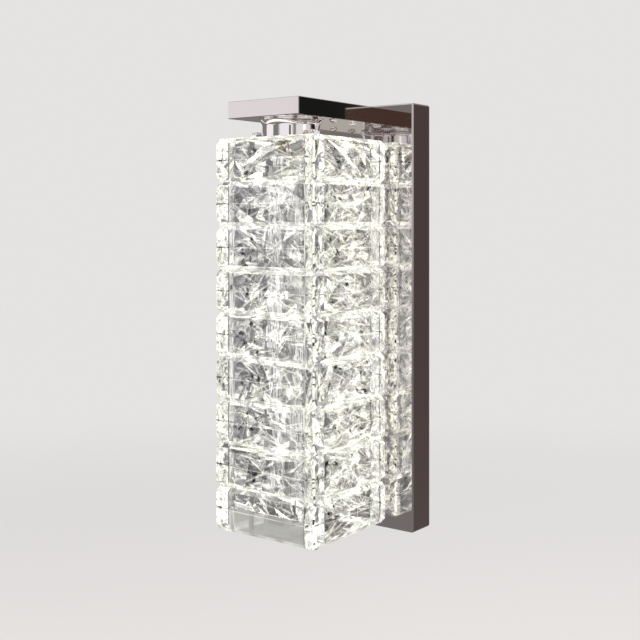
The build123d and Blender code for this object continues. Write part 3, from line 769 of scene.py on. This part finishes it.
def bar_sections(layer, side, rng, settings):
    """Sections of one bar across X, drawn with its outer face at Y = 0, and the marks of their points.

    A section runs up the outer face, over the top chamfer and top face, down the chipped inner face and
    back along the bottom. Towards the right end its height steps in by the chamfer.
    """
    half_l = BAR_L / 2
    stations = np.linspace(-half_l + SEAM, half_l, int(BAR_L / settings.grid) + 1)
    stations = np.unique(np.concatenate([stations, [half_l - JOINT_CHAMFER, half_l - CORNER_CHAMFER]]))
    x = stations[:, None]
    trim = np.clip(x - (half_l - JOINT_CHAMFER), 0, None)
    low, high = SEAM + trim, BAR_H - SEAM - trim
    steps = 2 * (int(BAR_H / settings.grid) // 2) + 1
    rise = np.linspace(0, 1, steps)[None, :]
    outer_z = low + JOINT_CHAMFER + (high - low - 2 * JOINT_CHAMFER) * rise
    outer_y = outer_face(x, outer_z, rise, rng, settings)
    inner_z = high + (low - high) * rise
    inner_x = x + 0 * inner_z
    cut, painted_flat_shade = inner_face(inner_x, inner_z, layer, rng, settings)
    inner_y = BAR_T - SEAM - cut
    flat = np.linspace(0, 1, 5)[None, :]
    edge_top = outer_y[:, -1:] + JOINT_CHAMFER
    edge_bottom = outer_y[:, :1] + JOINT_CHAMFER
    top_y = np.minimum(edge_top + (BAR_T - edge_top) * flat, inner_y[:, :1])
    bottom_y = np.minimum(edge_bottom + (BAR_T - edge_bottom) * flat[:, ::-1], inner_y[:, -1:])
    y = np.concatenate([outer_y, top_y, inner_y[:, 1:-1], bottom_y], 1)
    z = np.concatenate([outer_z, high + 0 * top_y, inner_z[:, 1:-1], low + 0 * bottom_y], 1)
    light, shade, warm = face_marks(inner_x, inner_z, rng, side, painted_flat_shade, layer)
    open_face = np.clip((half_l - BAR_T - 0.6 - inner_x) / 0.8, 0, 1)
    inner_marks = np.stack([light * open_face, shade * open_face, warm], -1)[:, 1:-1]
    outer_marks, flat_marks = bar_marks(x, outer_z.shape, top_y.shape, rng, settings, warm)
    bottom_marks, top_marks = flat_marks[:, ::-1], flat_marks.copy()
    # The top layer's top face gets painted light in scattered splinters.
    if layer == LAYERS - 1:
        spots = strewn(rng, 40, (0, 6), (half_l, 4), (0, 1))
        top_marks[..., 0] = 0.5 + 0.5 * slivers(x + 0 * top_y, top_y, rng, spots, (2, 6), (0.5, 1.5))
    marks = np.concatenate([outer_marks, top_marks, inner_marks, bottom_marks], 1)
    sections = np.stack([x + 0 * y, y, z], -1)
    end, end_marks = bar_end(sections[-1], rng)
    return np.concatenate([sections, end]), np.concatenate([marks, end_marks])


def place_bar(points, layer, side):
    """Move a bar from its own place to its layer and turn it round the column to its side."""
    x = points[..., 0] + BAR_T / 2
    y = points[..., 1] - COLUMN_W / 2
    z = points[..., 2] + COLUMN_BOTTOM_Z + layer * BAR_H
    turn = radians(SIDES[side])
    c, s = np.cos(turn), np.sin(turn)
    return np.stack([c * x - s * y, s * x + c * y + COLUMN_Y, z], -1)


# ---------------------------------------------------------------- settings


class SconceCrystal(bpy.types.PropertyGroup):
    grid: bpy.props.FloatProperty(
        name="Grid", description="Spacing of the surface points in millimetres", default=0.55, min=0.3
    )
    pits: bpy.props.IntProperty(
        name="Pits", description="Flat-sided pits cut into each bar's inner face", default=9, min=1
    )
    scoops: bpy.props.IntProperty(
        name="Scoops", description="Rounded chips cut into each bar's inner face", default=7, min=1
    )
    depth: bpy.props.FloatProperty(
        name="Depth", description="Deepest pit in millimetres", default=4.2, min=0, max=6
    )
    outer: bpy.props.FloatProperty(
        name="Outer waves", description="Depth of the outer face's waves in millimetres", default=0.06, min=0
    )
    ripple: bpy.props.FloatProperty(
        name="Ripple", description="Height of the fine ripples in millimetres", default=0.025, min=0
    )
    # Seam light, ridge light and caught light are painted light: the crystal's own emission, set by the "cut"
    # attribute.
    seam: bpy.props.FloatProperty(
        name="Seam light", description="Light caught by the chamfers at the joints", default=1.0, min=0
    )
    ridge: bpy.props.FloatProperty(
        name="Ridge light", description="Light caught by the ridge at mid-height", default=0.7, min=0
    )
    caught: bpy.props.FloatProperty(
        name="Caught light", description="Strength of the light that the cut faces catch", default=0.75, min=0
    )
    ior: bpy.props.FloatProperty(
        name="Index of refraction", description="How strongly the crystal bends light", default=1.54, min=1
    )
    roughness: bpy.props.FloatProperty(
        name="Roughness", description="Blur of the crystal's surfaces", default=0.0, min=0, subtype="FACTOR"
    )
    tint: bpy.props.FloatVectorProperty(
        name="Tint",
        description="Colour of the crystal",
        default=(0.985, 0.985, 0.99),
        subtype="COLOR",
        min=0,
        max=1,
    )


class SconceMetal(bpy.types.PropertyGroup):
    chrome: bpy.props.FloatVectorProperty(
        name="Chrome",
        description="Colour of the polished plating",
        default=(0.72, 0.69, 0.69),
        subtype="COLOR",
        min=0,
        max=1,
    )
    roughness: bpy.props.FloatProperty(
        name="Roughness", description="Blur of the polished plating", default=0.05, min=0, subtype="FACTOR"
    )


class SconceLight(bpy.types.PropertyGroup):
    glow: bpy.props.FloatProperty(name="Glow", description="Strength of the lit core", default=0.9, min=0)
    colour: bpy.props.FloatVectorProperty(
        name="Colour",
        description="Colour of the lit core",
        default=(1.0, 0.98, 0.95),
        subtype="COLOR",
        min=0,
        max=1,
    )


class SconceStage(bpy.types.PropertyGroup):
    floor_z: bpy.props.FloatProperty(
        name="Floor height", description="Height of the floor", default=-0.6, unit="LENGTH"
    )
    floor: bpy.props.FloatVectorProperty(
        name="Floor colour",
        description="Colour of the floor",
        default=(0.8, 0.79, 0.78),
        subtype="COLOR",
        min=0,
        max=1,
    )
    backdrop: bpy.props.FloatVectorProperty(
        name="Backdrop",
        description="Colour behind the floor",
        default=(0.78, 0.77, 0.76),
        subtype="COLOR",
        min=0,
        max=1,
    )
    key: bpy.props.FloatProperty(
        name="Key lamp", description="Power of the main lamp", default=30.0, min=0, unit="POWER"
    )


# ---------------------------------------------------------------- operators


class SCONCE_OT_crystal(bpy.types.Operator):
    """Build the 36 rock-cut crystal bars"""

    bl_idname = "sconce.crystal"
    bl_label = "Crystal bars"

    def execute(self, context):
        settings = context.scene.sconce_crystal
        material = crystal_material(settings)
        for layer in range(LAYERS):
            for number, side in enumerate(SIDES):
                rng = np.random.default_rng(1000 + 10 * layer + number)
                sections, marks = bar_sections(layer, side, rng, settings)
                ends = np.stack([marks[0].mean(0), marks[-1].mean(0)])
                marks = np.concatenate([marks.reshape(-1, 3), ends])
                tube = closed_tube(place_bar(sections, layer, side))
                node = f"crystal_{side}_{layer + 1}"
                piece = new_piece(f"cut_{side}_{layer + 1}", *tube, "crystal", material, marks=marks)
                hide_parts(node)
        return {"FINISHED"}


class SCONCE_OT_metal(bpy.types.Operator):
    """Dress the plated and plain metal pieces"""

    bl_idname = "sconce.metal"
    bl_label = "Metal"

    def execute(self, context):
        settings = context.scene.sconce_metal
        chrome = plain_material("Polished chrome", settings.chrome, 1, settings.roughness, 900, 0.02, 0.03)
        dress(["backplate", "arm_shell", "arm_cover", "hanger_plate", "bottom_plate"], chrome)
        zinc = plain_material("Zinc-plated steel", (0.60, 0.61, 0.62), 1, 0.32, 500, 0.12, 0.2)
        dress(["wall_bracket", "arm_screws"], zinc)
        dress(["corner_pins"], pin_material())
        brass = plain_material("Brass", (0.78, 0.60, 0.32), 1, 0.28, 500, 0.1, 0.15)
        dress(["earth_screw"], brass)
        aluminium = plain_material("Anodised aluminium", (0.80, 0.81, 0.82), 1, 0.35, 700, 0.06, 0.12)
        dress(["core_tube", "core_plugs"], aluminium)
        return {"FINISHED"}


class SCONCE_OT_neck(bpy.types.Operator):
    """Build the polished collar under the arm, its chrome painted brighter as light"""

    bl_idname = "sconce.neck"
    bl_label = "Neck collar"

    def execute(self, context):
        # The collar's chrome is painted a quarter brighter than the rest: painted light from the lit crystals
        # below.
        painted_lit_chrome = [min(1, 1.25 * c) for c in context.scene.sconce_metal.chrome]
        chrome = plain_material("Neck chrome", painted_lit_chrome, 1, 0.06, 900, 0.02, 0.03)
        collar = closed_loop(moved(neck_sections(), 0, NECK_Y, 0))
        fine_piece("neck_collar", "polished_chrome", chrome, [collar])
        return {"FINISHED"}


class SCONCE_OT_screws(bpy.types.Operator):
    """Build the domed screws of the arm cover, the backplate's edges and the bottom plate"""

    bl_idname = "sconce.screws"
    bl_label = "Domed screws"

    def execute(self, context):
        cover, edge, foot = (domed_screw(*size) for size in (COVER_SCREW, EDGE_SCREW, FOOT_SCREW))
        covers = [moved(cover, x, y, ARM_BOTTOM_Z, True) for x in COVER_SCREW_XS for y in COVER_SCREW_YS]
        edges = [moved(edge, 0, EDGE_SCREW_Y, z, z < 0) for z in (EDGE_SCREW_Z, -EDGE_SCREW_Z)]
        feet = [moved(foot, 0, NECK_Y, PLATE_LOW_Z, True)]
        plating = shared_material(*BRIGHT_PLATING)
        for node, screws in (("arm_cover_screws", covers), ("fixing_screws", edges), ("bottom_screw", feet)):
            fine_piece(node, "polished_chrome", plating, [closed_tube(screw) for screw in screws])
        return {"FINISHED"}


class SCONCE_OT_rods(bpy.types.Operator):
    """Build the threaded tie rods and the nuts at their ends"""

    bl_idname = "sconce.rods"
    bl_label = "Tie rods"

    def execute(self, context):
        plating, steel = shared_material(*BRIGHT_PLATING), shared_material(*STEEL_THREAD)
        locks = [closed_loop(moved(lock_nut(), x, ROD_Y, COLUMN_TOP_Z)) for x in (-ROD_X, ROD_X)]
        caps = [closed_tube(moved(cap_nut(), x, ROD_Y, PLATE_LOW_Z, True)) for x in (-ROD_X, ROD_X)]
        rods = [closed_tube(moved(tie_rod(), x, ROD_Y, 0)) for x in (-ROD_X, ROD_X)]
        fine_piece("rod_lock_nuts", "polished_chrome", plating, locks)
        fine_piece("rod_cap_nuts", "polished_chrome", plating, caps)
        fine_piece("tie_rods", "zinc_steel", steel, rods)
        return {"FINISHED"}


class SCONCE_OT_pipe(bpy.types.Operator):
    """Build the threaded pipe and its nuts"""

    bl_idname = "sconce.pipe"
    bl_label = "Pipe"

    def execute(self, context):
        brass = plain_material("Brass nut", (0.78, 0.60, 0.32), 1, 0.28, 500, 0.1, 0.15)
        nuts = [closed_loop(moved(pipe_nut(), 0, NECK_Y, z)) for z in PIPE_NUT_ZS]
        pipe = closed_loop(moved(lamp_pipe(), 0, NECK_Y, 0))
        fine_piece("pipe_nuts", "brass", brass, nuts)
        fine_piece("threaded_pipe", "zinc_steel", shared_material(*STEEL_THREAD), [pipe])
        return {"FINISHED"}


class SCONCE_OT_fittings(bpy.types.Operator):
    """Dress the electrical pieces"""

    bl_idname = "sconce.fittings"
    bl_label = "Fittings"

    def execute(self, context):
        plastic = plain_material("White plastic", (0.82, 0.82, 0.80), 0, 0.45, 600, 0.04, 0.1, 0.2)
        dress(["led_driver", "terminal_block"], plastic)
        rubber = plain_material("Black rubber", (0.03, 0.03, 0.03), 0, 0.7, 700, 0.2, 0.1, 0.3)
        dress(["wire_grommet"], rubber)
        return {"FINISHED"}


class SCONCE_OT_light(bpy.types.Operator):
    """Light the core"""

    bl_idname = "sconce.light"
    bl_label = "Lit core"

    def execute(self, context):
        settings = context.scene.sconce_light
        dress(["led_strips"], light_material(settings.colour, settings.glow))
        return {"FINISHED"}


# Stage, in metres: floor, fade of the floor into the backdrop, lamps and camera.
FLOOR_R = 30.0
FLOOR_FADE = (0.6, 3.0)
LAMP_TARGET = (0, -0.05, 0)
CAMERA_PLACE = (0.46496, -0.66792, 0.06864)
CAMERA_TURN = 36.99
LENS, LENS_SHIFT = 60.2578, -0.1545
GLASS_BOUNCES, MIRROR_BOUNCES = 32, 16

# Each card: its direction, the cosines where it starts and where it is full, and the light it adds.
MIRROR_ROOM = (0.22, 0.205, 0.20)
MIRROR_CARDS = [
    ((-0.83, -0.53, 0.14), 0.938, 0.9425, (0.78, 0.74, 0.76)),
    ((-0.57, -0.815, -0.105), 0.990, 0.996, (0.42, 0.40, 0.34)),
    ((0.60, 0.76, 0.20), 0.60, 0.98, (-0.13, -0.14, -0.14)),
    ((0.68, 0.73, 0.08), 0.986, 0.9925, (-0.078, -0.052, -0.048)),
    ((0.0, 0.0, 1.0), 0.35, 0.95, (0.55, 0.55, 0.55)),
    ((0.30, -0.95, 0.05), 0.82, 0.94, (0.70, 0.70, 0.74)),
    ((0.549, -0.830, 0.101), 0.9972, 0.9988, (-0.82, -0.85, -0.90)),
    ((0.96, -0.22, 0.1), 0.92, 0.96, (0.60, 0.60, 0.60)),
    ((0.97, 0.26, 0.05), 0.94, 0.97, (0.60, 0.60, 0.58)),
    ((-0.12, 0.98, 0.1), 0.90, 0.96, (0.60, 0.60, 0.58)),
]
GLASS_ROOM = (0.225, 0.215, 0.24)
GLASS_CARDS = [
    ((-0.2, 0.9, 0.3), 0.92, 0.96, (-0.15, -0.15, -0.15)),
    ((-0.9, 0.4, -0.1), 0.92, 0.96, (0.35, 0.35, 0.34)),
    ((0.5, 0.8, -0.3), 0.92, 0.95, (-0.18, -0.17, -0.18)),
    ((0.0, 0.2, 1.0), 0.60, 0.9, (0.4, 0.4, 0.38)),
    ((0.1, 0.1, -1.0), 0.7, 0.9, (-0.15, -0.15, -0.15)),
    ((0.8, 0.0, 0.2), 0.93, 0.97, (-0.2, -0.2, -0.2)),
]


def sum_cards(tree, room, cards):
    """Colour of the room seen in a direction: the room's own plus every card that the direction meets."""
    seen = tree.nodes.new("ShaderNodeTexCoord").outputs["Generated"]
    total = room
    for direction, start, full, colour in cards:
        length = sum(c * c for c in direction) ** 0.5
        along = vector_calc(tree, "DOT_PRODUCT", seen, [c / length for c in direction])
        total = vector_calc(tree, "MULTIPLY_ADD", ramp(tree, along, start, full), colour, total)
    return total


def world_for(settings):
    """World: an even pale colour for the camera, and rooms with soft cards for mirrors and for glass."""
    world = bpy.data.worlds.new("Studio")
    world.use_nodes = True
    tree = world.node_tree
    tree.nodes.clear()
    rays = tree.nodes.new("ShaderNodeLightPath").outputs
    mirrors = sum_cards(tree, MIRROR_ROOM, MIRROR_CARDS)
    glass = sum_cards(tree, GLASS_ROOM, GLASS_CARDS)
    rooms = mixed(tree, rays["Is Transmission Ray"], mirrors, glass)
    glow = tree.nodes.new("ShaderNodeBackground")
    put(tree, glow.inputs["Color"], mixed(tree, rays["Is Camera Ray"], rooms, (*settings.backdrop, 1)))
    out = tree.nodes.new("ShaderNodeOutputWorld")
    put(tree, out.inputs["Surface"], glow.outputs[0])
    return world


def floor_material(settings):
    """Pale matt floor that turns into the backdrop's own colour with the distance from the middle."""
    material, tree, _ = principled("Floor", {"Base Color": (*settings.floor, 1), "Roughness": 0.9})
    flat = vector_calc(tree, "MULTIPLY", own_place(tree), (1, 1, 0))
    far = ramp(tree, vector_calc(tree, "LENGTH", flat), *FLOOR_FADE)
    glow = tree.nodes.new("ShaderNodeEmission")
    put(tree, glow.inputs["Color"], (*settings.backdrop, 1))
    mix = tree.nodes.new("ShaderNodeMixShader")
    put(tree, mix.inputs["Fac"], far)
    put(tree, mix.inputs[1], tree.nodes["Principled BSDF"].outputs[0])
    put(tree, mix.inputs[2], glow.outputs[0])
    put(tree, tree.nodes["Material Output"].inputs["Surface"], mix.outputs[0])
    return material


def add_lamp(name, place, size, power):
    """Soft square lamp turned to the sconce, which neither mirrors nor glass show."""
    data = bpy.data.lights.new(name, "AREA")
    data.size = size
    data.energy = power
    lamp = bpy.data.objects.new(name, data)
    lamp.location = place
    away = np.array(place) - np.array(LAMP_TARGET)
    away = away / np.linalg.norm(away)
    lamp.rotation_euler = (np.arccos(away[2]), 0, np.arctan2(away[0], -away[1]))
    lamp.visible_glossy = False
    lamp.visible_transmission = False
    bpy.context.scene.collection.objects.link(lamp)


class SCONCE_OT_stage(bpy.types.Operator):
    """Set the floor, lamps, world and camera"""

    bl_idname = "sconce.stage"
    bl_label = "Stage"

    def execute(self, context):
        settings = context.scene.sconce_stage
        scene = context.scene
        scene.view_settings.view_transform = "Standard"
        scene.cycles.max_bounces = GLASS_BOUNCES
        scene.cycles.transmission_bounces = GLASS_BOUNCES
        scene.cycles.glossy_bounces = MIRROR_BOUNCES
        scene.world = world_for(settings)
        mesh = bpy.data.meshes.new("floor")
        r, z = FLOOR_R, settings.floor_z
        mesh.from_pydata([(-r, -r, z), (r, -r, z), (r, r, z), (-r, r, z)], [], [(0, 1, 2, 3)])
        mesh.materials.append(floor_material(settings))
        floor = bpy.data.objects.new("floor", mesh)
        floor.visible_glossy = False
        floor.visible_transmission = False
        scene.collection.objects.link(floor)
        add_lamp("key", (-1.2, -1.6, 1.4), 1.2, settings.key)
        add_lamp("fill", (1.6, -1.2, 1.0), 1.4, settings.key * 0.5)
        add_lamp("back", (0.3, 1.8, 1.6), 1.4, settings.key * 0.6)
        data = bpy.data.cameras.new("camera")
        data.sensor_width = 36.0
        data.lens = LENS
        data.shift_y = LENS_SHIFT
        camera = bpy.data.objects.new("camera", data)
        camera.location = CAMERA_PLACE
        camera.rotation_euler = (radians(90), 0, radians(CAMERA_TURN))
        scene.collection.objects.link(camera)
        scene.camera = camera
        return {"FINISHED"}


class SCONCE_PT_panel(bpy.types.Panel):
    """Lists the sconce's builders and their settings"""

    bl_idname = "SCONCE_PT_panel"
    bl_label = "Crystal wall sconce"
    bl_space_type = "VIEW_3D"
    bl_region_type = "UI"
    bl_category = "Sconce"

    def draw(self, context):
        for key, operator in STEPS:
            box = self.layout.box()
            box.operator(operator)
            if key:
                group = getattr(context.scene, key)
                for name in group.__annotations__:
                    box.prop(group, name)


STEPS = (
    ("sconce_crystal", "sconce.crystal"),
    ("sconce_metal", "sconce.metal"),
    ("", "sconce.neck"),
    ("", "sconce.screws"),
    ("", "sconce.rods"),
    ("", "sconce.pipe"),
    ("", "sconce.fittings"),
    ("sconce_light", "sconce.light"),
    ("sconce_stage", "sconce.stage"),
)
GROUPS = {
    "sconce_crystal": SconceCrystal,
    "sconce_metal": SconceMetal,
    "sconce_light": SconceLight,
    "sconce_stage": SconceStage,
}
CLASSES = (
    *GROUPS.values(),
    SCONCE_OT_crystal,
    SCONCE_OT_metal,
    SCONCE_OT_neck,
    SCONCE_OT_screws,
    SCONCE_OT_rods,
    SCONCE_OT_pipe,
    SCONCE_OT_fittings,
    SCONCE_OT_light,
    SCONCE_OT_stage,
    SCONCE_PT_panel,
)


def register():
    for cls in CLASSES:
        bpy.utils.register_class(cls)
    for key, group in GROUPS.items():
        setattr(bpy.types.Scene, key, bpy.props.PointerProperty(type=group))


def unregister():
    for key in GROUPS:
        delattr(bpy.types.Scene, key)
    for cls in reversed(CLASSES):
        bpy.utils.unregister_class(cls)


def main():
    """Register and build every piece in order."""
    register()
    for key, operator in STEPS:
        area, name = operator.split(".")
        getattr(getattr(bpy.ops, area), name)()


if __name__ == "__main__":
    main()
